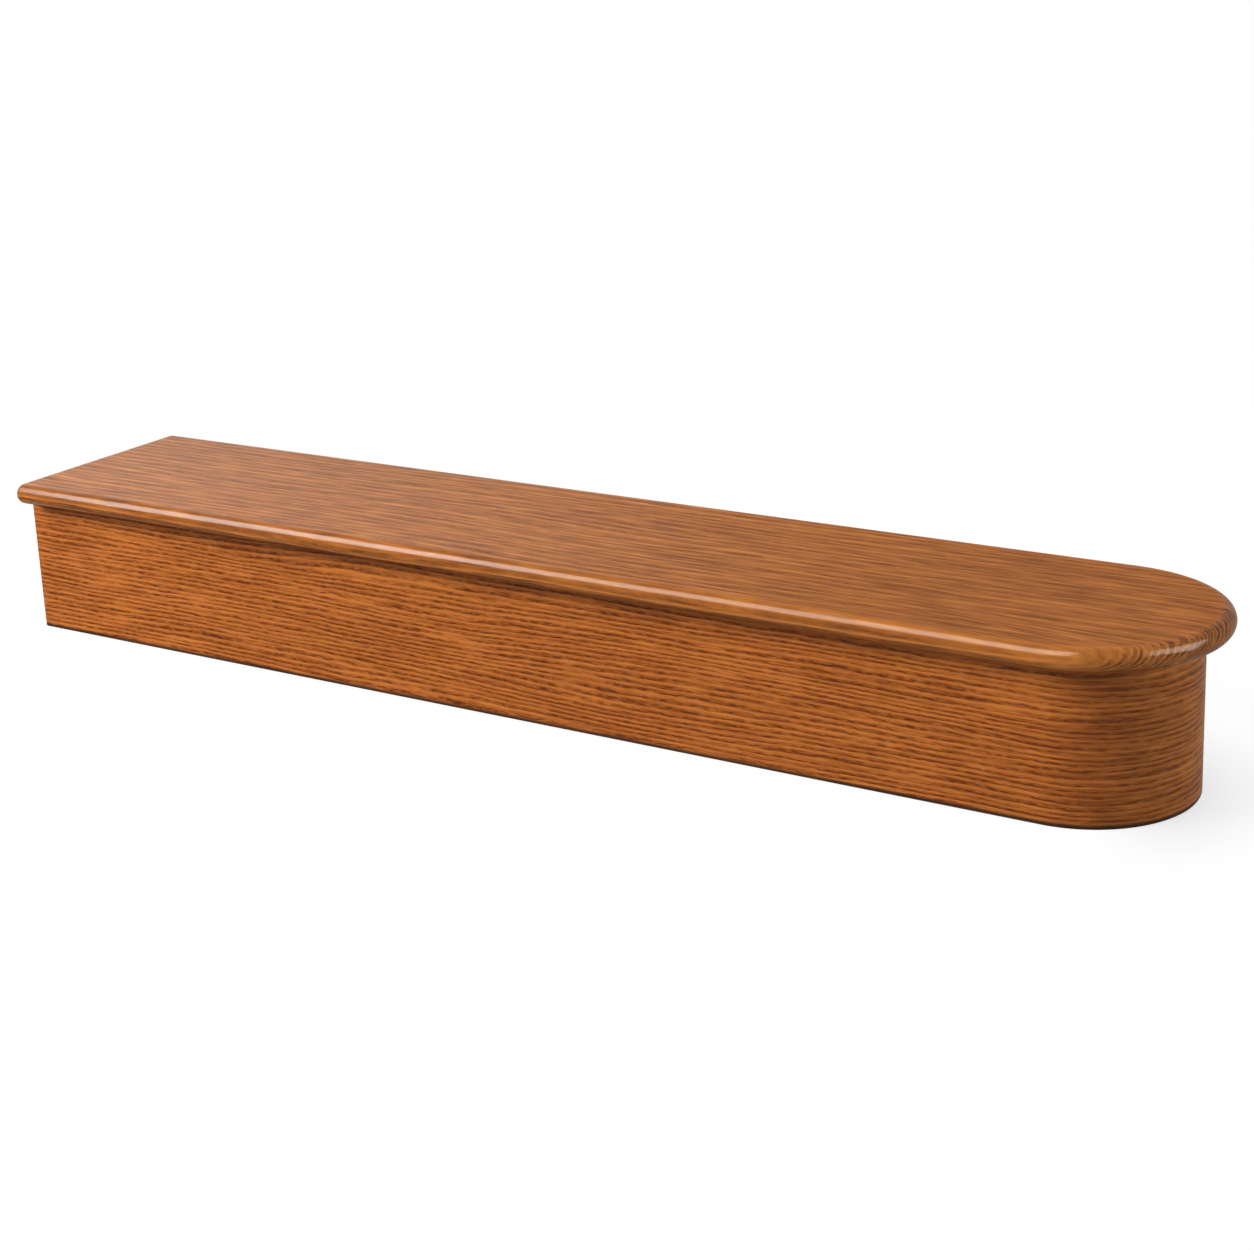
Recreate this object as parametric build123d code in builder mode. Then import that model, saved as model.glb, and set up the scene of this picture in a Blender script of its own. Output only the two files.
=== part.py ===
from build123d import *
import os

# Bullnose starting step: a solid oak tread on a bent riser, with one half-round end.
# The front is -Y, the round end is +X, and the floor is Z = 0 below the middle of the tread.

# Driving dimensions in millimetres
tread_length = 1524.0  # square end to the tip of the round end, 60 in
tread_depth = 292.1  # front nosing to back nosing, 11 1/2 in
tread_thickness = 25.4  # 1 in, and the nosing is a full half round of it
step_rise = 196.85  # floor to walking surface, 7 3/4 in
nosing_overhang = 28.6  # how far the nosing stands past the riser's face, 1 1/8 in
riser_thickness = 19.05  # bent lamination, 3/4 in
return_length = 152.4  # straight run of the riser behind the round end, 6 in
former_thickness = 19.05  # plywood plates that the riser is bent round, 3/4 in
glue_line = 0.2  # gap between a former's edge and the riser
glue_block_leg = 44.5  # each of the two glued faces of a corner block, 1 3/4 in
glue_block_length = 101.6  # 4 in
glue_block_count = 4
end_round = 9.5  # rounding of the tread's edges at the square end, 3/8 in
eased_edge = 2.4  # rounded arris on the riser's exposed cut edges, 3/32 in

# Places and sizes that follow from them
square_end_x = -tread_length / 2
round_centre_x = tread_length / 2 - tread_depth / 2
tread_underside_z = step_rise - tread_thickness
riser_outer_radius = tread_depth / 2 - nosing_overhang
riser_inner_radius = riser_outer_radius - riser_thickness
former_radius = riser_inner_radius - glue_line
return_end_x = round_centre_x - return_length
glue_block_pitch = (return_end_x - square_end_x) / glue_block_count

os.makedirs("parts", exist_ok=True)


# Tread: a board nosed along both edges, with the nosing turned round one end
with BuildSketch() as nosed_section:
    with Locations((0, step_rise - tread_thickness / 2)):
        SlotOverall(tread_depth, tread_thickness)

with BuildPart() as tread:
    with BuildSketch(Plane.YZ.offset(square_end_x)):
        add(nosed_section.sketch_local)
    extrude(amount=round_centre_x - square_end_x)
    with BuildSketch(Plane.YZ.offset(round_centre_x)):
        add(nosed_section.sketch_local)
        split(bisect_by=Plane.YZ, keep=Keep.BOTTOM)
    revolve(axis=Axis((round_centre_x, 0, 0), (0, 0, 1)), revolution_arc=180)
    square_end = tread.faces().sort_by(Axis.X)[0]
    fillet(square_end.edges(), end_round)
tread.part.label = "tread"
export_step(tread.part, "parts/tread.step")


# Riser: one bent lamination along the front, round the end and a short way along the back
with BuildPart() as riser:
    with BuildSketch() as riser_plan:
        with BuildLine() as riser_face:
            front = Line(
                (square_end_x, -riser_outer_radius),
                (round_centre_x, -riser_outer_radius),
            )
            bend = TangentArc(
                front @ 1, (round_centre_x, riser_outer_radius), tangent=front % 1
            )
            Line(bend @ 1, (return_end_x, riser_outer_radius))
            offset(amount=riser_thickness, side=Side.LEFT)
        make_face()
    extrude(amount=tread_underside_z)
    floor_edges = riser.faces().sort_by(Axis.Z)[0].edges()
    end_edges = riser.faces().filter_by(Axis.X).edges().filter_by(Axis.Z)
    fillet(floor_edges + end_edges, eased_edge)
riser.part.label = "riser"
export_step(riser.part, "parts/riser.step")


# Formers: half-round plates inside the bend, one on the floor and one that backs a newel's bolts
former_undersides = {
    "lower_former": 0,
    "upper_former": tread_underside_z - former_thickness,
}
for name, underside_z in former_undersides.items():
    with BuildPart() as former:
        with BuildSketch(Plane.XY.offset(underside_z)) as former_plan:
            with Locations((round_centre_x, 0)):
                Circle(former_radius)
                Rectangle(
                    return_length, 2 * former_radius, align=(Align.MAX, Align.CENTER)
                )
        extrude(amount=former_thickness)
    former.part.label = name
    export_step(former.part, f"parts/{name}.step")


# Glue blocks: three-cornered blocks in the corner between the front riser and the tread
for number in range(1, glue_block_count + 1):
    block_middle_x = square_end_x + (number - 0.5) * glue_block_pitch
    block_end = Plane.YZ.offset(block_middle_x - glue_block_length / 2)
    with BuildPart() as glue_block:
        with BuildSketch(block_end) as block_section:
            with Locations((-riser_inner_radius, tread_underside_z)):
                Polygon((0, 0), (0, -glue_block_leg), (glue_block_leg, 0), align=None)
        extrude(amount=glue_block_length)
    glue_block.part.label = f"glue_block_{number}"
    export_step(glue_block.part, f"parts/glue_block_{number}.step")
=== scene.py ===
# %% [markdown]
# # A bullnose starting step in stained oak
#
# A starting step is the lowest step of a stair. Its tread ends in a half circle, and its riser is bent
# round that end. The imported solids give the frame: the sizes below are read from them, apart from two
# small roundings, so the pieces that are modelled here land where the solids are.

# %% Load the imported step
import math

import bmesh
import bpy
from mathutils import Matrix, Vector


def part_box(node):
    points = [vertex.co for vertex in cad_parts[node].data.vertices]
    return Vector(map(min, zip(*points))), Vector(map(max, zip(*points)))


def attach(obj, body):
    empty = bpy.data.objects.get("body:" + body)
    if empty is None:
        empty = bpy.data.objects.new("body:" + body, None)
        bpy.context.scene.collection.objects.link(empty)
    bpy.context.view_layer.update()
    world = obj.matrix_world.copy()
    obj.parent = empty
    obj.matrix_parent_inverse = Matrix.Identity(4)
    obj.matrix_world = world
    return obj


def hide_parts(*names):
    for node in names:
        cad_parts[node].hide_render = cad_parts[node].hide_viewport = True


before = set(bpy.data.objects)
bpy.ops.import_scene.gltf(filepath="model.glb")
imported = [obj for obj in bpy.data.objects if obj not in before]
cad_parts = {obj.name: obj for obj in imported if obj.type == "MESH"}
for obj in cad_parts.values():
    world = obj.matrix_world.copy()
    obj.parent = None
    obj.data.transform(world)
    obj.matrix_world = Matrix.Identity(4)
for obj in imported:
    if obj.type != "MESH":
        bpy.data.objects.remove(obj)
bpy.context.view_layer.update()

print("nodes:", ", ".join(sorted(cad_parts)))

# %% [markdown]
# ## Sizes from the frame
#
# The tread's box gives the length, the depth and the thickness. The end is a true half circle, so its
# centre lies half a depth in from the tip. A glue block touches the back of the riser, which gives the
# riser's inner face, and the upper former stops where the riser's return stops.

# %% Read the sizes
tread_low, tread_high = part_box("tread")
former_low, former_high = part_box("upper_former")
riser_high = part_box("riser")[1]
block_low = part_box("glue_block_1")[0]

square_end = tread_low.x
half_depth = tread_high.y
round_centre = tread_high.x - half_depth
underside = tread_low.z
walking_height = tread_high.z
thickness = walking_height - underside
outer_radius = riser_high.y
inner_radius = -block_low.y
riser_thickness = outer_radius - inner_radius
return_end = former_low.x
straight_run = round_centre - square_end
print(f"tread {tread_high.x - square_end:.3f} m long, {2 * half_depth:.3f} m deep, {thickness:.4f} m thick")
print(f"riser {riser_thickness:.4f} m thick, bent to a radius of {outer_radius:.4f} m")

# %% [markdown]
# ## A way to pick by place
#
# In edit mode an operator acts on whatever is selected. A person clicks on edges and faces; a script
# can ask where each one is instead. This helper selects only the parts of a mesh that pass a test.

# %% Helpers for edit mode
NEAR = 0.0002
SHARP = math.radians(60)
SMOOTH_BELOW = math.radians(40)


def pick(piece, kind, test):
    """Selects only the verts, edges or faces of a piece in edit mode that pass a test."""
    bpy.ops.mesh.select_mode(type=kind)
    bpy.ops.mesh.select_all(action="DESELECT")
    shape = bmesh.from_edit_mesh(piece.data)
    parts = {"VERT": shape.verts, "EDGE": shape.edges, "FACE": shape.faces}[kind]
    chosen = [part for part in parts if test(part)]
    for part in chosen:
        part.select_set(True)
    bmesh.update_edit_mesh(piece.data)
    return len(chosen)


def all_at(edge_or_face, axis, place):
    """True where every corner has this coordinate."""
    return all(abs(vert.co[axis] - place) < NEAR for vert in edge_or_face.verts)


def slide(x=0.0, y=0.0, z=0.0):
    """The move that goes with an extrusion."""
    return {"value": (x, y, z)}


def finish_mesh(piece):
    """Closes a piece's seams, turns its faces outwards and smooths what isn't a corner."""
    bpy.ops.mesh.select_all(action="SELECT")
    bpy.ops.mesh.remove_doubles(threshold=NEAR / 20)
    bpy.ops.mesh.normals_make_consistent(inside=False)
    bpy.ops.object.mode_set(mode="OBJECT")
    bpy.ops.object.shade_smooth_by_angle(angle=SMOOTH_BELOW)
    piece.modifiers.new("even_normals", "WEIGHTED_NORMAL").keep_sharp = True
    bpy.ops.object.modifier_apply(modifier="even_normals")
    print(piece.name, "has", len(piece.data.polygons), "faces")


print(f"corners count as one place within {NEAR * 1000:.1f} mm")

# %% [markdown]
# ## The tread
#
# The real tread is a thick oak board. Its end is sawn to a half circle, and a router then rounds the
# edge over from above and from below until the two cuts meet in a full half round, the nosing. The same
# order works here: half of a circle gets two straight sides, the outline is filled and raised to the
# board's thickness, and a bevel of half that thickness rounds both rims until they meet. The edges of
# the square end are only rounded over, so a smaller bevel follows there.

# %% Saw the outline of the board
ROUND_STEPS = 192
X, Z = 0, 2

bpy.ops.object.select_all(action="DESELECT")
bpy.ops.mesh.primitive_circle_add(
    vertices=ROUND_STEPS, radius=half_depth, location=(round_centre, 0, underside)
)
tread = bpy.context.object
tread.name = "oak_tread"
bpy.ops.object.transform_apply(location=True, rotation=True, scale=True)
bpy.ops.object.mode_set(mode="EDIT")
pick(tread, "VERT", lambda vert: vert.co.x < round_centre - NEAR)
bpy.ops.mesh.delete(type="VERT")
ends = pick(tread, "VERT", lambda vert: vert.co.x < round_centre + NEAR)
bpy.ops.mesh.extrude_vertices_move(TRANSFORM_OT_translate=slide(x=-straight_run))
bpy.ops.mesh.select_all(action="SELECT")
bpy.ops.mesh.edge_face_add()
bpy.ops.mesh.extrude_region_move(TRANSFORM_OT_translate=slide(z=thickness))
print("straight sides drawn from", ends, "ends of the half circle")

# %% Round the nosing over
NOSE_STEPS = 12
END_ROUND = 0.0095
END_STEPS = 8


def is_rim(edge):
    """A level edge of the board's outline, apart from those of the square end."""
    level = all_at(edge, Z, underside) or all_at(edge, Z, walking_height)
    return level and not all_at(edge, X, square_end)


rim_edges = pick(tread, "EDGE", is_rim)
bpy.ops.mesh.bevel(offset=thickness / 2, segments=NOSE_STEPS, profile=0.5, affect="EDGES")
bpy.ops.mesh.select_all(action="SELECT")
bpy.ops.mesh.remove_doubles(threshold=NEAR / 20)
end_edges = pick(tread, "EDGE", lambda edge: all_at(edge, X, square_end))
bpy.ops.mesh.bevel(offset=END_ROUND, segments=END_STEPS, profile=0.5, affect="EDGES")
print("rounded", rim_edges, "rim edges and", end_edges, "edges of the square end")

# %% [markdown]
# The stain and the varnish stop behind the riser, where nobody sees the board. An inset of the
# underside marks off that bare area, which gets a material of its own further down.

# %% Mark off the bare underside
BARE = 1
FACES_DOWN = -0.99

bare_inset = half_depth - thickness / 2 - inner_radius
pick(tread, "FACE", lambda face: all_at(face, Z, underside))
bpy.ops.mesh.inset(thickness=bare_inset, depth=0)
finish_mesh(tread)
for face in tread.data.polygons:
    well_inside = all(abs(tread.data.vertices[i].co.y) < inner_radius + NEAR for i in face.vertices)
    if face.normal.z < FACES_DOWN and well_inside:
        face.material_index = BARE
print("bare faces:", sum(face.material_index == BARE for face in tread.data.polygons))

# %% [markdown]
# ## The riser
#
# The real riser is a stack of thin plies, bent round a half-round former while the glue sets. Its
# section is the same all the way, so a plane of that section is extruded along the front, spun half a
# turn about the centre of the round end, and extruded once more for the short return at the back.

# %% Bend the riser
BEND_STEPS = 96

bpy.ops.object.select_all(action="DESELECT")
bpy.ops.mesh.primitive_plane_add(
    size=1,
    location=(square_end, -(outer_radius + inner_radius) / 2, underside / 2),
    rotation=(0, math.pi / 2, 0),
)
riser = bpy.context.object
riser.name = "oak_riser"
riser.scale = (underside, riser_thickness, 1)
bpy.ops.object.transform_apply(location=True, rotation=True, scale=True)
bpy.ops.object.mode_set(mode="EDIT")
bpy.ops.mesh.select_all(action="SELECT")
bpy.ops.mesh.extrude_region_move(TRANSFORM_OT_translate=slide(x=straight_run))
bpy.ops.mesh.spin(
    steps=BEND_STEPS, angle=math.pi, center=(round_centre, 0, 0), axis=(0, 0, -1)
)
bpy.ops.mesh.extrude_region_move(TRANSFORM_OT_translate=slide(x=return_end - round_centre))
bpy.ops.mesh.select_all(action="SELECT")
bpy.ops.mesh.remove_doubles(threshold=NEAR / 20)
bpy.ops.mesh.normals_make_consistent(inside=False)
print("riser spun in", BEND_STEPS, "steps")

# %% Ease the riser's cut edges
EASED_EDGE = 0.0024
EASE_STEPS = 4


def is_cut_edge(edge):
    """A corner along the floor, or an upright corner of one of the two ends."""
    corner = edge.is_manifold and edge.calc_face_angle() > SHARP
    upright = abs(edge.verts[0].co.z - edge.verts[1].co.z) > NEAR
    at_end = all_at(edge, X, square_end) or all_at(edge, X, return_end)
    return corner and (all_at(edge, Z, 0) or (upright and at_end))


cut_edges = pick(riser, "EDGE", is_cut_edge)
bpy.ops.mesh.bevel(offset=EASED_EDGE, segments=EASE_STEPS, profile=0.5, affect="EDGES")
finish_mesh(riser)
print("eased", cut_edges, "edges")

# %% [markdown]
# On the real riser the grain runs round the bend with the plies. Object coordinates would cut straight
# through it, so each point of the mesh is told where it lay on the flat ply before it was bent: how far
# along, how high, and how deep below the face. The wood's shader reads that attribute. The depth also
# tells the bare back and the cut edges, which show the plies, from the stained face.

# %% Lay the riser out flat for its grain
FLAT_PLY = "flat_ply"
PLY_EDGE = 2


def unbent(point):
    """Where a point of the riser lay on the flat ply: along it, up it and below its face."""
    if point.x > round_centre:
        outward = Vector((point.x - round_centre, point.y))
        turned = math.atan2(outward.y, outward.x) + math.pi / 2
        return straight_run + outer_radius * turned, point.z, outer_radius - outward.length
    if point.y < 0:
        return point.x - square_end, point.z, outer_radius + point.y
    behind = round_centre - point.x
    return straight_run + outer_radius * math.pi + behind, point.z, outer_radius - point.y


flat_ply = riser.data.attributes.new(FLAT_PLY, "FLOAT_VECTOR", "POINT")
for vert, entry in zip(riser.data.vertices, flat_ply.data):
    entry.vector = unbent(vert.co)
for face in riser.data.polygons:
    depths = [flat_ply.data[i].vector.z for i in face.vertices]
    if min(depths) > riser_thickness - NEAR:
        face.material_index = BARE
    elif max(depths) - min(depths) > riser_thickness / 2:
        face.material_index = PLY_EDGE
print("ply length:", round(max(entry.vector.x for entry in flat_ply.data), 3), "m")

# %% [markdown]
# ## Wood, one layer at a time
#
# A shader is a chain of small steps. These helpers add one node each and join it to the steps before,
# so that a wood reads from top to bottom like a recipe. A noise is stretched along the grain by dividing
# the coordinates by the length, width and depth that one of its blotches should have.

# %% Helpers for shaders
def new_material(name):
    """A material with one surface shader, its node tree and that shader."""
    material = bpy.data.materials.new(name)
    material.use_nodes = True
    tree = material.node_tree
    return material, tree, tree.nodes["Principled BSDF"]


def add_step(tree, kind, inputs, **settings):
    """One node: inputs are joined where they are sockets, and set where they are values."""
    made = tree.nodes.new(kind)
    for name, value in settings.items():
        setattr(made, name, value)
    for name, value in inputs.items():
        if isinstance(value, bpy.types.NodeSocket):
            tree.links.new(value, made.inputs[name])
        else:
            made.inputs[name].default_value = value
    return made


def work_out(tree, operation, *values):
    """The result of a sum."""
    inputs = dict(enumerate(values))
    return add_step(tree, "ShaderNodeMath", inputs, operation=operation).outputs[0]


def blotches(tree, grain, size, detail=1.0):
    """Noise from 0 to 1, with blotches of this length, width and depth in metres."""
    along, across, deep = size
    scaled = {"Vector": grain, "Scale": (1 / along, 1 / across, 1 / deep)}
    scaled = add_step(tree, "ShaderNodeMapping", scaled).outputs[0]
    noise = {"Vector": scaled, "Scale": 1.0, "Detail": detail, "Roughness": 0.5}
    return add_step(tree, "ShaderNodeTexNoise", noise).outputs["Fac"]


def spread(tree, value, low, high, to_low=0.0, to_high=1.0):
    """Stretches a span of values onto another, eased at both ends."""
    inputs = {"Value": value, 1: low, 2: high, 3: to_low, 4: to_high}
    return add_step(
        tree, "ShaderNodeMapRange", inputs, interpolation_type="SMOOTHSTEP"
    ).outputs[0]


def ramp(tree, value, stops):
    """A colour for each value, blended between stops."""
    made = add_step(tree, "ShaderNodeValToRGB", {"Fac": value})
    elements = made.color_ramp.elements
    while len(elements) < len(stops):
        elements.new(0.5)
    for element, (place, colour) in zip(elements, stops):
        element.position = place
        element.color = (*colour, 1.0)
    return made.outputs["Color"]


def press_in(tree, surface, depths, strength, depth):
    """Lets the surface look pressed in by this depth in metres, where the depths are 1."""
    relief = {"Height": depths, "Strength": strength, "Distance": depth}
    bump = add_step(tree, "ShaderNodeBump", relief, invert=True)
    tree.links.new(bump.outputs["Normal"], surface.inputs["Normal"])


print("woods so far:", len(bpy.data.materials), "from the packed step")

# %% [markdown]
# ## Where the grain runs
#
# The tread was sawn from one trunk, so its figure is solid: it reads the board's own coordinates, tipped
# so that the rings lean in the board. That gives long lines on top, and short slanting strokes where the
# round nosing cuts across the grain at the end. The riser reads the flat-ply attribute instead, so its
# lines follow the bend.

# %% Two grain directions
RING_LEAN = math.radians(50)


def board_grain(tree):
    """Object coordinates, tipped about the board's length so that the second one crosses the rings."""
    place = add_step(tree, "ShaderNodeTexCoord", {})
    tip = {"Vector": place.outputs["Object"], "Rotation": (RING_LEAN, 0, 0)}
    return add_step(tree, "ShaderNodeMapping", tip).outputs[0]


def ply_grain(tree):
    """Where the point lay on the flat ply."""
    return add_step(tree, "ShaderNodeAttribute", {}, attribute_name=FLAT_PLY).outputs["Vector"]


print(f"the board's rings lean {math.degrees(RING_LEAN):.0f} degrees")

# %% [markdown]
# A nosing is routed and sanded, and its figure comes out different: its crest is even. Painted shade makes
# the crest a little darker, and painted light makes the face a little lighter below the crest and towards
# the round end. Where it crosses the grain, the pores are cut open and show as close short strokes, and
# the end grain is a little darker; at the far end, where the cut is square, painted shade darkens it more.
# The masks below are 1 in such a place and 0 elsewhere. They are worked out from places on the board, so
# they stay there from wherever it is seen.

# %% Places on the nosing
NOSING_STARTS = half_depth - 0.6 * thickness
NOSING_FULL = half_depth - 0.4 * thickness
NOSING_MIDDLE = walking_height - thickness / 2
CREST_STARTS = NOSING_MIDDLE - 0.05 * thickness
CREST_FULL = NOSING_MIDDLE + 0.15 * thickness
TURN_RUN = 0.03
CUT_STARTS, CUT_FULL = 0.045, 0.085
# The far end of the round nosing, which is painted darker as shade, starts at this share of the way round.
SQUARE_STARTS = 0.80
# Over this span of the length the nosing's face is painted lighter towards the round end, as painted light.
PAINTED_LIGHT_FROM, PAINTED_LIGHT_TO = -0.3, 0.5


def round_nosing(tree):
    """Masks for the places on the tread's nosing, by name."""
    place = add_step(tree, "ShaderNodeTexCoord", {}).outputs["Object"]
    split = add_step(tree, "ShaderNodeSeparateXYZ", {"Vector": place}).outputs
    past = work_out(tree, "SUBTRACT", split["X"], round_centre)
    past = work_out(tree, "MAXIMUM", past, 0.0)
    plan = add_step(tree, "ShaderNodeCombineXYZ", {"X": past, "Y": split["Y"]}).outputs[0]
    reach = add_step(tree, "ShaderNodeVectorMath", {0: plan}, operation="LENGTH").outputs["Value"]
    nosed = spread(tree, reach, NOSING_STARTS, NOSING_FULL)
    cut = work_out(tree, "MULTIPLY", nosed, spread(tree, past, CUT_STARTS, CUT_FULL))
    facing_end = spread(tree, work_out(tree, "DIVIDE", past, reach), SQUARE_STARTS, 1.0)
    sanded = work_out(tree, "SUBTRACT", nosed, cut)
    turning = spread(tree, split["X"], round_centre, round_centre + TURN_RUN)
    painted_light_along = spread(tree, split["X"], PAINTED_LIGHT_FROM, PAINTED_LIGHT_TO)
    crest = work_out(tree, "MULTIPLY", sanded, spread(tree, split["Z"], CREST_STARTS, CREST_FULL))
    # Through the nosing's tones, the far end and the crest carry painted shade, and the face below the
    # crest and towards the round end carries painted light.
    return {
        "nosing": nosed,
        "cut": cut,
        "shaded_square_cut": work_out(tree, "MULTIPLY", nosed, facing_end),
        "turn": work_out(tree, "MULTIPLY", turning, sanded),
        "crest": crest,
        "below_crest": work_out(tree, "SUBTRACT", sanded, crest),
        "right": work_out(tree, "MULTIPLY", sanded, painted_light_along),
    }


def no_nosing(tree):
    """No masks: a bent ply has no nosing, and keeps its long grain all the way round."""
    return {}


def change_by(tree, value, mask, share):
    """Makes a value larger by a share where a mask is 1, or smaller if the share is negative."""
    return work_out(tree, "MULTIPLY", value, work_out(tree, "MULTIPLY_ADD", mask, share, 1.0))


def change_where(tree, value, places, shares):
    """Makes a value larger or smaller by a share in each named place that the piece has."""
    for name, share in shares.items():
        if name in places:
            value = change_by(tree, value, places[name], share)
    return value


print(f"the nosing starts {NOSING_STARTS:.4f} m from the middle of the board")

# %% [markdown]
# ## Stained oak
#
# Oak grows in yearly rings. Each starts with a row of open pores, which soak up stain and show as dark
# broken lines, and goes on as dense wood, which stays lighter. A picture of oak would end at the edges
# of the board, so the figure is worked out from the place of each point instead. First comes the
# distance across the rings, pushed to and fro by slow and quick noises so that no line runs straight.

# %% Rings that wander
SLOW_DRIFT = (0.60, 0.150, 0.150)
SLOW_PUSH = 0.024
YEARLY_DRIFT = (0.40, 0.025, 0.025)
YEARLY_PUSH = 0.012
QUICK_DRIFT = (0.060, 0.020, 0.020)


def across_rings(tree, grain, oak):
    """(the distance across the rings, the grain with that distance as its second coordinate)."""
    slow = blotches(tree, grain, SLOW_DRIFT)
    years = blotches(tree, grain, YEARLY_DRIFT, detail=0.0)
    quick = blotches(tree, grain, QUICK_DRIFT)
    split = add_step(tree, "ShaderNodeSeparateXYZ", {"Vector": grain}).outputs
    across = work_out(tree, "MULTIPLY_ADD", slow, SLOW_PUSH, split["Y"])
    across = work_out(tree, "MULTIPLY_ADD", years, YEARLY_PUSH, across)
    across = work_out(tree, "MULTIPLY_ADD", quick, oak["wander"], across)
    joined = {"X": split["X"], "Y": across, "Z": split["Z"]}
    return across, add_step(tree, "ShaderNodeCombineXYZ", joined).outputs[0]


print(f"rings drift by up to {1000 * (SLOW_PUSH + YEARLY_PUSH):.0f} mm")

# %% [markdown]
# Each ring then gets one dark line, which darkens quickly and fades slowly, as the row of pores does.
# Noise breaks the lines into strokes and speckles them with pores. Where the nosing cuts across the
# grain, the lines lie twice as close and are thinner.

# %% Dark lines of pores
LINE_GAPS = (0.080, 0.0065, 0.020)
GAP_STARTS, GAP_FULL = 0.32, 0.56
PORE = (0.011, 0.0016, 0.004)
PORE_STARTS, PORE_FULL = 0.35, 0.65
PORE_LEVEL = 0.85
CUT_THINNER = 1.6


def ring_lines(tree, across, oak, width):
    """One dark line in each ring of this width, dark quickly and light again slowly."""
    ring = work_out(tree, "FRACT", work_out(tree, "DIVIDE", across, width))
    rise = spread(tree, ring, 0.0, oak["rise"])
    fall = spread(tree, ring, oak["fall"], 1.0, 1.0, 0.0)
    return work_out(tree, "MULTIPLY", rise, fall)


def pore_lines(tree, across, bent_grain, oak, places):
    """The dark lines, broken into strokes and speckled with pores."""
    line = ring_lines(tree, across, oak, oak["ring"])
    if "cut" in places:
        closer = ring_lines(tree, across, oak, oak["ring"] / 2)
        closer = work_out(tree, "SUBTRACT", closer, line)
        line = work_out(tree, "MULTIPLY_ADD", closer, places["cut"], line)
    gaps = blotches(tree, bent_grain, LINE_GAPS, detail=2.0)
    gaps = spread(tree, gaps, GAP_STARTS, GAP_FULL, 1 - oak["broken"], 1.0)
    line = work_out(tree, "MULTIPLY", line, gaps)
    pores = spread(tree, blotches(tree, bent_grain, PORE), PORE_STARTS, PORE_FULL)
    pores = work_out(tree, "MULTIPLY_ADD", pores, oak["porous"], PORE_LEVEL - oak["porous"] / 2)
    line = work_out(tree, "MULTIPLY", line, pores)
    if "cut" in places:
        thinner = work_out(tree, "MULTIPLY_ADD", places["cut"], CUT_THINNER, 1.0)
        line = work_out(tree, "POWER", line, thinner)
    return line


print(f"pores are {1000 * PORE[0]:.0f} mm long and {1000 * PORE[1]:.1f} mm wide")

# %% [markdown]
# Fine fibres, streaks and slow changes of tone lie over the lines. How dark the wood is comes out as one
# number, the sum of all these layers. Towards the round end of the tread and on the bend of the riser the
# lines are calmer, and painted shade makes the wood darker there. The tables say by how much each place on
# the nosing differs.

# %% Oak's figure
TONE_CHANGE = (0.25, 0.045, 0.060)
NOSING_LINES = {"turn": -0.75, "cut": 0.60, "crest": -0.50, "below_crest": 0.50}
NOSING_FIBRES = {"crest": -0.35, "cut": -0.50}
# Darker where the grain is cut is the end grain's own tone. Darker at the far end and on the crest is
# painted shade, and lighter below the crest and towards the round end is painted light.
NOSING_TONES_AND_PAINTED_LIGHT = {"cut": 0.03, "shaded_square_cut": 0.20, "crest": 0.17, "right": -0.17, "below_crest": -0.06}


def oak_figure(tree, grain, oak):
    """(how dark the wood is, how deep its pores are), for grain along the first coordinate."""
    across, bent_grain = across_rings(tree, grain, oak)
    places = oak["nosing"](tree)
    along = add_step(tree, "ShaderNodeSeparateXYZ", {"Vector": grain}).outputs["X"]
    # Calmer lines, and painted shade: darker towards the round end of the tread and round the bend of the
    # riser.
    calm_and_shaded = spread(tree, along, *oak["bend"])
    calm_and_shaded = change_where(tree, calm_and_shaded, places, {"nosing": -1.0})
    line = pore_lines(tree, across, bent_grain, oak, places)
    line = change_where(tree, line, places, NOSING_LINES)
    line = change_by(tree, line, calm_and_shaded, -oak["calm"])

    fibre = blotches(tree, bent_grain, oak["fibre"], detail=3.0)
    fibre = work_out(tree, "SUBTRACT", fibre, 0.5)
    fibre = change_where(tree, fibre, places, NOSING_FIBRES)
    streak = blotches(tree, bent_grain, oak["streak"], detail=2.0)
    tone = blotches(tree, grain, TONE_CHANGE, detail=2.0)
    layers = [
        (fibre, oak["fibre_share"]),
        (streak, oak["streak_share"]),
        (tone, oak["tone_share"]),
        (line, oak["lines"]),
        (calm_and_shaded, oak["painted_shade"]),
    ]
    # The nosing's tones: the end grain's own, and painted light and shade.
    layers += [(places[name], share) for name, share in NOSING_TONES_AND_PAINTED_LIGHT.items() if name in places]
    dark = oak["depth"] - (oak["streak_share"] + oak["tone_share"]) / 2
    for layer, share in layers:
        dark = work_out(tree, "MULTIPLY_ADD", layer, share, dark)
    return dark, line


print("places on the nosing with a tone of their own:", ", ".join(NOSING_TONES_AND_PAINTED_LIGHT))

# %% [markdown]
# One table per board holds what differs between the two. Lengths are in metres: the width of a ring, how
# far its lines wander, the size of a fibre and of a streak, and the span over which the lines calm and
# painted shade darkens the wood.
# Nosing names the function that gives the places on it, and the rest are shares from 0 to 1. Rise and
# fall say where in a ring the line is full and where it starts to fade, and broken and porous how much
# the gaps and the pores take away.

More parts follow.
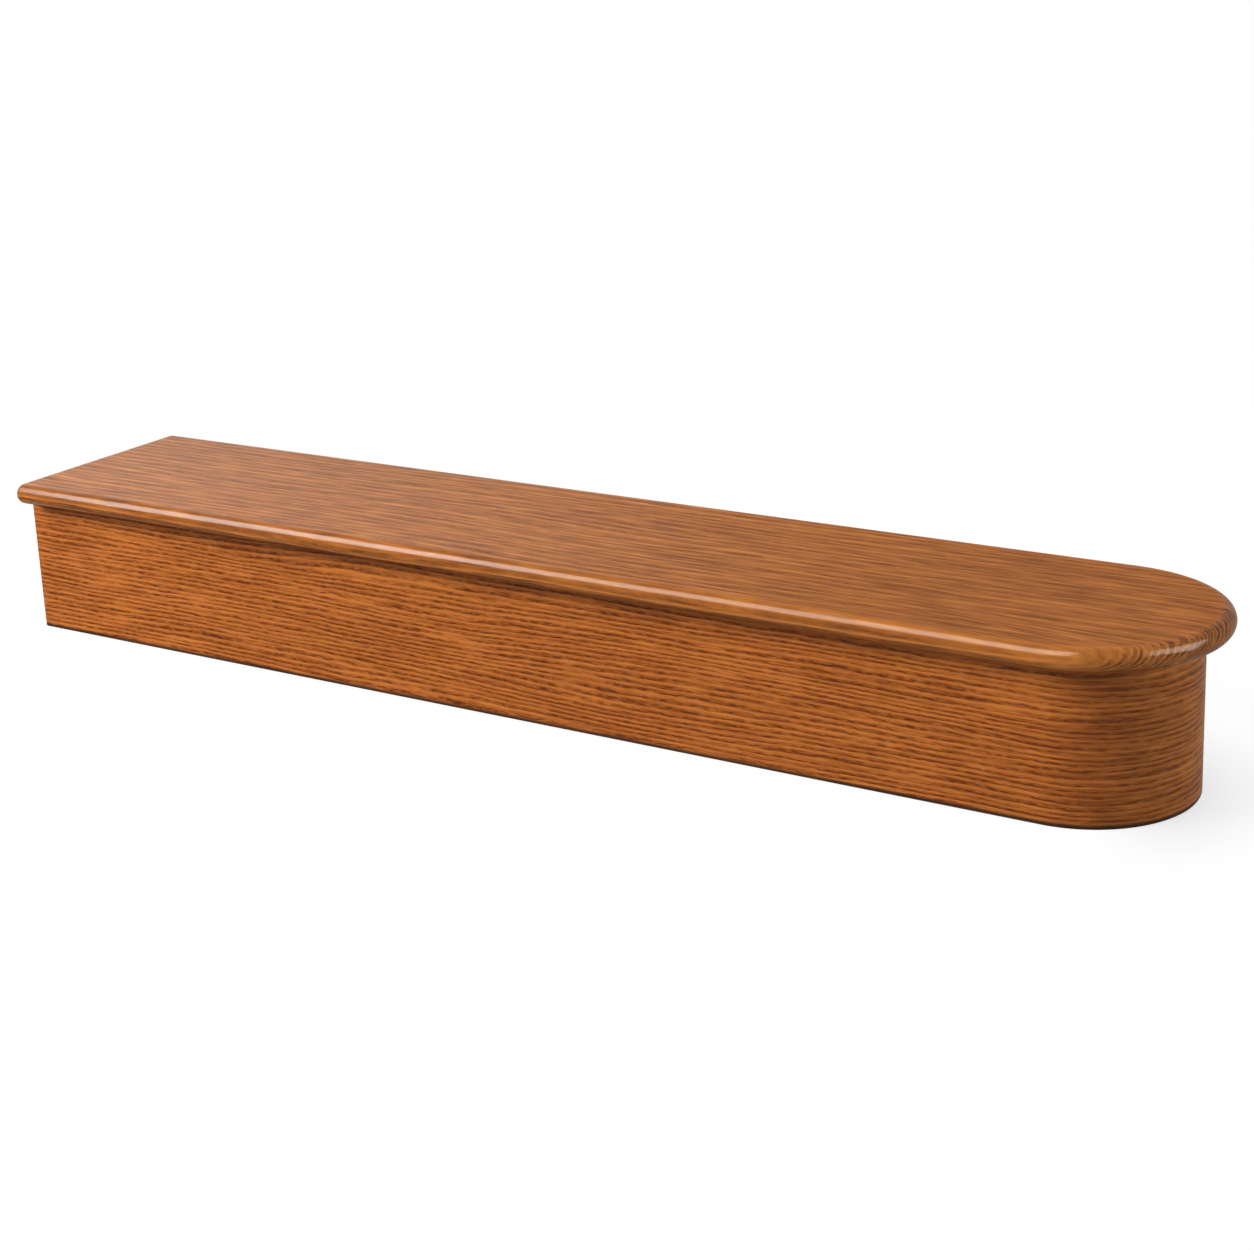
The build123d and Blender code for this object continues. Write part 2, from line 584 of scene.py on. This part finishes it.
# %% Two boards
TREAD_FIGURE = {
    "ring": 0.0086,
    "rise": 0.15,
    "fall": 0.55,
    "broken": 0.45,
    "porous": 0.30,
    "wander": 0.0012,
    "nosing": round_nosing,
    "fibre": (0.045, 0.0028, 0.0045),
    "fibre_share": 0.92,
    "streak": (0.12, 0.010, 0.020),
    "streak_share": 0.26,
    "tone_share": 0.22,
    "lines": 0.36,
    "depth": 0.190,
    "bend": (0.05, 0.60),
    "calm": 0.40,
    # painted shade, darker towards the round end
    "painted_shade": 0.12,
}
RISER_FIGURE = {
    "ring": 0.0063,
    "rise": 0.24,
    "fall": 0.38,
    "broken": 0.60,
    "porous": 0.70,
    "wander": 0.0030,
    "nosing": no_nosing,
    "fibre": (0.026, 0.0020, 0.004),
    "fibre_share": 0.75,
    "streak": (0.10, 0.010, 0.020),
    "streak_share": 0.49,
    "tone_share": 0.34,
    "lines": 0.60,
    "depth": 0.095,
    "bend": (straight_run - 0.02, straight_run + 0.06),
    "calm": 0.40,
    # painted shade, darker round the bend
    "painted_shade": 0.16,
}
print(f"rings: tread {1000 * TREAD_FIGURE['ring']:.1f} mm, riser {1000 * RISER_FIGURE['ring']:.1f} mm")

# %% [markdown]
# A ramp turns that number into the colours of the stain, from the dense light wood to the filled pores.
# Over the stain lies a clear satin varnish, which is the shader's coat: it shines, and the wood below
# stays dull. The coat is thicker on the nosing, whose bright line is far stronger than the sheen on top.
# A thin dark line of painted shade runs along the riser's foot, where it meets the floor.

# %% Stain and varnish
TREAD_STAIN = [
    (0.00, (0.640, 0.216, 0.039)),
    (0.30, (0.430, 0.133, 0.021)),
    (0.60, (0.230, 0.062, 0.008)),
    (0.95, (0.105, 0.026, 0.003)),
]
RISER_STAIN = [
    (0.00, (0.640, 0.203, 0.039)),
    (0.30, (0.430, 0.122, 0.022)),
    (0.60, (0.230, 0.056, 0.009)),
    (0.95, (0.105, 0.023, 0.004)),
]
STAINED_ROUGHNESS = (0.42, 0.55)
STAINED_RELIEF = {"strength": 0.20, "depth": 0.0002}
VARNISH_ROUGHNESS = 0.16
TREAD_VARNISH = 0.14
NOSING_VARNISH = 0.27
RISER_VARNISH = 0.16


def stained_oak(name, grain_from, oak, stain, varnish):
    """Oak under stain and a clear satin varnish. grain_from adds the nodes that give the grain."""
    material, tree, surface = new_material(name)
    dark, pores = oak_figure(tree, grain_from(tree), oak)
    tree.links.new(ramp(tree, dark, stain), surface.inputs["Base Color"])
    dullness = spread(tree, dark, 0.0, 1.0, *STAINED_ROUGHNESS)
    tree.links.new(dullness, surface.inputs["Roughness"])
    press_in(tree, surface, pores, **STAINED_RELIEF)
    surface.inputs["Specular IOR Level"].default_value = 0.0
    surface.inputs["Coat Weight"].default_value = varnish
    surface.inputs["Coat Roughness"].default_value = VARNISH_ROUGHNESS
    return material


tread_oak = stained_oak("tread_oak", board_grain, TREAD_FIGURE, TREAD_STAIN, TREAD_VARNISH)
riser_oak = stained_oak("riser_oak", ply_grain, RISER_FIGURE, RISER_STAIN, RISER_VARNISH)
print("stained:", tread_oak.name, riser_oak.name)

# %% Thicker varnish on the nosing, and painted shade along the foot
# The foot's dark line is painted shade where the riser meets the floor: its height, strength and colour.
FOOT_SHADE_HEIGHT = 0.0064
FOOT_SHADE_SHARE = 0.9
FOOT_SHADE_COLOUR = (0.032, 0.018, 0.009, 1)


def varnish_nosing(material, thin, thick):
    """Makes the coat thicker on the nosing than on the rest of the board."""
    tree = material.node_tree
    coat = work_out(tree, "MULTIPLY_ADD", round_nosing(tree)["nosing"], thick - thin, thin)
    tree.links.new(coat, tree.nodes["Principled BSDF"].inputs["Coat Weight"])


def paint_foot_shade(material):
    """Paints a thin dark line of shade along the riser's foot, where it meets the floor."""
    tree = material.node_tree
    height = add_step(tree, "ShaderNodeSeparateXYZ", {"Vector": ply_grain(tree)}).outputs["Y"]
    # Painted shade: darkest at the floor, fading out over the lowest few millimetres.
    foot_shade = spread(tree, height, FOOT_SHADE_HEIGHT / 2, FOOT_SHADE_HEIGHT, FOOT_SHADE_SHARE, 0.0)
    colour = tree.nodes["Principled BSDF"].inputs["Base Color"]
    foot = {"Fac": foot_shade, "Color1": colour.links[0].from_socket, "Color2": FOOT_SHADE_COLOUR}
    tree.links.new(add_step(tree, "ShaderNodeMixRGB", foot).outputs["Color"], colour)


varnish_nosing(tread_oak, TREAD_VARNISH, NOSING_VARNISH)
paint_foot_shade(riser_oak)
print(f"dark foot {1000 * FOOT_SHADE_HEIGHT:.1f} mm high")

# %% [markdown]
# ## The bare wood behind
#
# Behind the riser nothing is stained. The underside of the board and the back of the riser are raw oak,
# with the same figure under paler colours. The riser's ends and lower edge show its plies as stripes,
# and so do the edges of the plywood plates. The blocks are pine.

# %% Bare oak
BARE_OAK = [
    (0.00, (0.670, 0.430, 0.240)),
    (0.45, (0.565, 0.325, 0.160)),
    (0.95, (0.300, 0.150, 0.062)),
]
BARE_RELIEF = {"strength": 0.4, "depth": 0.0003}


def bare_oak(name, grain_from, oak):
    """Oak as it leaves the saw."""
    material, tree, surface = new_material(name)
    dark, pores = oak_figure(tree, grain_from(tree), oak)
    tree.links.new(ramp(tree, dark, BARE_OAK), surface.inputs["Base Color"])
    press_in(tree, surface, pores, **BARE_RELIEF)
    surface.inputs["Roughness"].default_value = 0.75
    return material


tread_underside = bare_oak("tread_underside", board_grain, TREAD_FIGURE)
riser_back = bare_oak("riser_back", ply_grain, RISER_FIGURE)
print("bare:", tread_underside.name, riser_back.name)

# %% [markdown]
# In plywood every second ply is turned, so long grain and the darker end grain take turns, with a thin
# glue line between them. The riser's plies are counted from its face. On the plates the count starts
# half a ply in, so that their flat faces show wood and not glue.

# %% Plies on edge
PLY_COUNT = 7
PLIES = [(0.00, (0.52, 0.36, 0.20)), (0.50, (0.44, 0.29, 0.155)), (0.90, (0.20, 0.11, 0.05))]
PLY_FIBRE = (0.030, 0.0015, 0.0015)
FIBRE_DARKER = 0.45
GLUE_LINE = 0.10
GLUE_DARKER = 0.75
END_GRAIN_DARKER = 0.22


def plies_on_edge(name, grain_from, stack_height, start):
    """Plies stacked along the third coordinate, long grain and end grain by turns."""
    material, tree, surface = new_material(name)
    grain = grain_from(tree)
    depth = add_step(tree, "ShaderNodeSeparateXYZ", {"Vector": grain}).outputs["Z"]
    layer = work_out(tree, "MULTIPLY_ADD", depth, PLY_COUNT / stack_height, start)
    glue = work_out(tree, "PINGPONG", layer, 0.5)
    glue = spread(tree, glue, 0.0, GLUE_LINE, GLUE_DARKER, 0.0)
    turned = work_out(tree, "FRACT", work_out(tree, "MULTIPLY", layer, 0.5))
    turned = work_out(tree, "GREATER_THAN", turned, 0.5)
    fibre = blotches(tree, grain, PLY_FIBRE, detail=2.0)
    dark = work_out(tree, "MULTIPLY_ADD", turned, END_GRAIN_DARKER, glue)
    dark = work_out(tree, "MULTIPLY_ADD", fibre, FIBRE_DARKER, dark)
    tree.links.new(ramp(tree, dark, PLIES), surface.inputs["Base Color"])
    surface.inputs["Roughness"].default_value = 0.8
    return material


def plate_grain(tree):
    """Object coordinates as they are, for boards that lie square in the frame."""
    return add_step(tree, "ShaderNodeTexCoord", {}).outputs["Object"]


former_thickness = former_high.z - former_low.z
riser_plies = plies_on_edge("riser_plies", ply_grain, riser_thickness, 0.0)
former_plywood = plies_on_edge("former_plywood", plate_grain, former_thickness, 0.5)
print("plies:", riser_plies.name, former_plywood.name)

# %% [markdown]
# Pine has no open pores. Its rings darken evenly and end in a sharp line.

# %% Pine blocks
PINE = [(0.00, (0.66, 0.46, 0.25)), (0.50, (0.58, 0.37, 0.17)), (1.00, (0.40, 0.21, 0.08))]
PINE_RING = 0.005
PINE_DRIFT = (0.30, 0.050, 0.050)
PINE_PUSH = 0.020
PINE_FIBRE = (0.060, 0.0010, 0.0010)
RING_SHARE = 0.6
FIBRE_SHARE = 0.4


def pine(name):
    """Sawn softwood, with an even dark line at the end of each ring."""
    material, tree, surface = new_material(name)
    grain = board_grain(tree)
    slow = blotches(tree, grain, PINE_DRIFT)
    across = add_step(tree, "ShaderNodeSeparateXYZ", {"Vector": grain}).outputs["Y"]
    across = work_out(tree, "MULTIPLY_ADD", slow, PINE_PUSH, across)
    ring = work_out(tree, "FRACT", work_out(tree, "DIVIDE", across, PINE_RING))
    fibre = blotches(tree, grain, PINE_FIBRE, detail=2.0)
    dark = work_out(tree, "MULTIPLY", spread(tree, ring, 0.1, 1.0), RING_SHARE)
    dark = work_out(tree, "MULTIPLY_ADD", fibre, FIBRE_SHARE, dark)
    tree.links.new(ramp(tree, dark, PINE), surface.inputs["Base Color"])
    surface.inputs["Roughness"].default_value = 0.7
    return material


glue_block_pine = pine("glue_block_pine")
print("softwood:", glue_block_pine.name)

# %% [markdown]
# ## Putting it together
#
# The two modelled pieces take the place of the plain solids of the same name. The hidden plates and
# blocks have the right shape already, so those solids stay and only get their woods.

# %% Dress the pieces
for wood in (tread_oak, tread_underside):
    tread.data.materials.append(wood)
for wood in (riser_oak, riser_back, riser_plies):
    riser.data.materials.append(wood)
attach(tread, "root")
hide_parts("tread")
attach(riser, "root")
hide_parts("riser")

for name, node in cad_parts.items():
    if "former" in name:
        node.material_slots[0].material = former_plywood
    elif "block" in name:
        node.material_slots[0].material = glue_block_pine
print("dressed", len(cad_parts), "nodes")

# %% [markdown]
# ## Floor
#
# The step stands on a white studio floor. To the camera, and in what is glossy, the floor is mostly plain
# white with a little real shading, which keeps a soft shadow. To the wood it is a grey floor that throws
# some light back up. Beside the round end the photo has a short darker shade: an ambient occlusion node,
# tipped to the side that the light comes from, finds the spots there that the step shuts in.

# %% Floor
FLOOR_HALF = 30.0
FLOOR_GREY = (0.28, 0.28, 0.28, 1)
SHADING_GREY = (0.07, 0.07, 0.07, 1)
PLAIN_WHITE = 0.94
SHADE_DEPTH = 0.40
SHADE_REACH = 0.12
SHADE_SAMPLES = 16
SHADE_FROM = Vector((-0.85, -0.45, 0.28)).normalized()
LEE_SIDE = Vector((0.86, 0.50, 0.0))
LEE_STARTS, LEE_FULL = 0.50, 0.62


def shows_background(tree):
    """1 where the plain white background shows: to the camera, and in what is glossy or clear."""
    ray = add_step(tree, "ShaderNodeLightPath", {})
    seen = work_out(tree, "MAXIMUM", ray.outputs["Is Camera Ray"], ray.outputs["Is Glossy Ray"])
    return work_out(tree, "MAXIMUM", seen, ray.outputs["Is Transmission Ray"])


def dot(tree, vector, direction):
    """How far a vector reaches in a direction."""
    pair = {0: vector, 1: direction}
    return add_step(tree, "ShaderNodeVectorMath", pair, operation="DOT_PRODUCT").outputs["Value"]


bpy.ops.object.select_all(action="DESELECT")
bpy.ops.mesh.primitive_plane_add(size=2 * FLOOR_HALF, location=(0, 0, 0))
floor = bpy.context.object
floor.name = "studio_floor"
print("floor reaches", FLOOR_HALF, "m each way")

# %% Floor paint
floor_paint, tree, surface = new_material("floor_paint")
surface.inputs["Base Color"].default_value = FLOOR_GREY
surface.inputs["Roughness"].default_value = 1.0
surface.inputs["Specular IOR Level"].default_value = 0.0
near = {"Distance": SHADE_REACH, "Normal": SHADE_FROM}
open_share = add_step(tree, "ShaderNodeAmbientOcclusion", near, samples=SHADE_SAMPLES).outputs["AO"]
place = add_step(tree, "ShaderNodeTexCoord", {}).outputs["Object"]
beside_end = spread(tree, dot(tree, place, LEE_SIDE), LEE_STARTS, LEE_FULL)
shut_in = work_out(tree, "MULTIPLY", work_out(tree, "SUBTRACT", 1.0, open_share), beside_end)
white = work_out(tree, "MULTIPLY_ADD", shut_in, -SHADE_DEPTH, PLAIN_WHITE)
plain = add_step(tree, "ShaderNodeEmission", {"Color": (1, 1, 1, 1), "Strength": white})
shaded = add_step(tree, "ShaderNodeBsdfDiffuse", {"Color": SHADING_GREY})
seen = add_step(tree, "ShaderNodeAddShader", {0: shaded.outputs[0], 1: plain.outputs[0]})
sides = {0: shows_background(tree), 1: surface.outputs[0], 2: seen.outputs[0]}
mixed = add_step(tree, "ShaderNodeMixShader", sides)
tree.links.new(mixed.outputs[0], tree.nodes["Material Output"].inputs["Surface"])
floor.data.materials.append(floor_paint)
print("floor paint has", len(tree.nodes), "steps")

# %% [markdown]
# ## Light
#
# The world is a plain dome, white to the camera and dimmer as a light. Low at the back left it glows:
# the top of the tread, seen at a flat angle, mirrors that glow as the pale sheen on its left half.

# %% World
DOME_LIGHT = 0.315
GLOW_LIGHT = 2.7
GLOW_COLOUR = (0.97, 1.0, 0.94, 1)
GLOW_FROM = Vector((-0.84, 0.485, 0.242)).normalized()
GLOW_STARTS = 0.845

world = bpy.data.worlds.new("studio")
bpy.context.scene.world = world
world.use_nodes = True
tree = world.node_tree
dome = work_out(tree, "MULTIPLY_ADD", shows_background(tree), 1 - DOME_LIGHT, DOME_LIGHT)
plain_sky = tree.nodes["Background"]
plain_sky.inputs["Color"].default_value = (1, 1, 1, 1)
tree.links.new(dome, plain_sky.inputs["Strength"])
way = add_step(tree, "ShaderNodeTexCoord", {}).outputs["Generated"]
glow = spread(tree, dot(tree, way, GLOW_FROM), GLOW_STARTS, 1.0, 0.0, GLOW_LIGHT)
glow_sky = add_step(tree, "ShaderNodeBackground", {"Color": GLOW_COLOUR, "Strength": glow})
sky = add_step(tree, "ShaderNodeAddShader", {0: plain_sky.outputs[0], 1: glow_sky.outputs[0]})
tree.links.new(sky.outputs[0], tree.nodes["World Output"].inputs["Surface"])
print("dome at", DOME_LIGHT, "with a glow of", GLOW_LIGHT)

# %% [markdown]
# Two kinds of lamp share the work, as in a studio. A soft sun from the front left, a fill and a cool card
# at the round end light the wood, and gloss doesn't see them. Three long lamps do the opposite: only
# gloss sees them, and they draw the bright line along the nosing and the highlight on its round end. So
# each can be set without spoiling what the other does.

# %% Helpers for lamps
NEUTRAL = (1.0, 1.0, 1.0)


def soft_lamp(name, place, aim, width, height, watts, tint=NEUTRAL):
    """A rectangular lamp at a place, turned towards a point."""
    lamp = bpy.data.lights.new(name, "AREA")
    lamp.shape = "RECTANGLE"
    lamp.size = width
    lamp.size_y = height
    lamp.energy = watts
    lamp.color = tint
    holder = bpy.data.objects.new(name, lamp)
    bpy.context.scene.collection.objects.link(holder)
    holder.location = place
    holder.rotation_euler = (Vector(aim) - Vector(place)).to_track_quat("-Z", "Y").to_euler()
    return holder


def soft_sun(name, towards, degrees_wide, strength):
    """A far lamp that shines from a direction and looks this many degrees wide."""
    lamp = bpy.data.lights.new(name, "SUN")
    lamp.angle = math.radians(degrees_wide)
    lamp.energy = strength
    holder = bpy.data.objects.new(name, lamp)
    bpy.context.scene.collection.objects.link(holder)
    holder.rotation_euler = Vector(towards).to_track_quat("Z", "Y").to_euler()
    return holder


def long_lamp(name, start, end, aim, height, watts, tint):
    """A long lamp between two points, facing a third."""
    along = Vector(end) - Vector(start)
    middle = (Vector(start) + Vector(end)) / 2
    back = middle - Vector(aim)
    back = back - back.project(along)
    turned = Matrix((along.normalized(), back.cross(along).normalized(), back.normalized()))
    holder = soft_lamp(name, middle, aim, along.length, height, watts, tint)
    holder.rotation_euler = turned.transposed().to_euler()
    return holder


print("lamps so far:", len(bpy.data.lights))

# %% Lamps that light the wood
key = soft_sun("key", towards=(-0.60, -0.59, 0.54), degrees_wide=24, strength=2.0)
fill = soft_lamp(
    "front_fill", place=(-1.5, -1.5, 1.3), aim=(-0.2, 0.0, 0.1), width=1.2, height=0.8, watts=23
)
card = soft_lamp(
    "end_card",
    place=(2.60, 0.38, 0.80),
    aim=(0.7, 0.0, 0.12),
    width=0.9,
    height=0.8,
    watts=19,
    tint=(0.78, 1.0, 1.28),
)
for lamp in (key, fill, card):
    lamp.visible_glossy = False
    print(lamp.name, "lights the wood")

# %% Lamps that only gloss sees
SHINE_LEFT = (-2.5, -1.17, 1.47)
SHINE_SPLIT = (-1.30, -1.37, 1.72)
SHINE_RIGHT = (0.80, -1.52, 1.95)
SHINE_HEIGHT = 1.6
FRONT_NOSING = (0, -0.13, 0.19)
END_SHINE_HIGH = (2.25, -0.48, 1.40)
END_SHINE_LOW = (2.43, 0.89, 0.66)
END_SHINE_HEIGHT = 1.3
END_NOSING = (0.74, -0.07, 0.19)

shines = [
    ("nosing_shine", SHINE_LEFT, SHINE_SPLIT, FRONT_NOSING, SHINE_HEIGHT, 156, (0.88, 1.0, 1.02)),
    ("nosing_shine_right", SHINE_SPLIT, SHINE_RIGHT, FRONT_NOSING, SHINE_HEIGHT, 200, (0.98, 1.0, 0.88)),
    ("end_shine", END_SHINE_HIGH, END_SHINE_LOW, END_NOSING, END_SHINE_HEIGHT, 88, (0.92, 0.92, 0.82)),
]
for shine in shines:
    lamp = long_lamp(*shine)
    lamp.visible_diffuse = False
    print(lamp.name, "shows in the varnish")

# %% [markdown]
# ## Camera
#
# The place and the lens come from matching the step's own edges to their places in the picture: the ends
# of the nosing, the foot of the riser and the round end. The picture is 1254 pixels square. The match
# needs a lens that is shifted, as on a view camera, mostly downwards.

# %% Camera
IMAGE_SIZE = 1254
FOCAL_PIXELS = 2319.9
SENSOR_WIDTH = 36
CAMERA_PLACE = (1.4367, -2.1019, 0.9473)
TURNED_LEFT = math.radians(33.05)
TILTED_DOWN = math.radians(16.08)
ROLLED = math.radians(-2.31)
SHIFTED_DOWN = 0.0917
SHIFTED_RIGHT = -0.0006

eye = bpy.data.cameras.new("photo_camera")
eye.sensor_width = SENSOR_WIDTH
eye.lens = FOCAL_PIXELS / IMAGE_SIZE * SENSOR_WIDTH
eye.shift_y = -SHIFTED_DOWN
eye.shift_x = SHIFTED_RIGHT
camera = bpy.data.objects.new("photo_camera", eye)
bpy.context.scene.collection.objects.link(camera)
camera.matrix_world = (
    Matrix.Translation(CAMERA_PLACE)
    @ Matrix.Rotation(TURNED_LEFT, 4, "Z")
    @ Matrix.Rotation(math.pi / 2 - TILTED_DOWN, 4, "X")
    @ Matrix.Rotation(ROLLED, 4, "Z")
)
bpy.context.scene.camera = camera
bpy.context.scene.view_settings.view_transform = "Standard"
print(f"lens {eye.lens:.1f} mm")
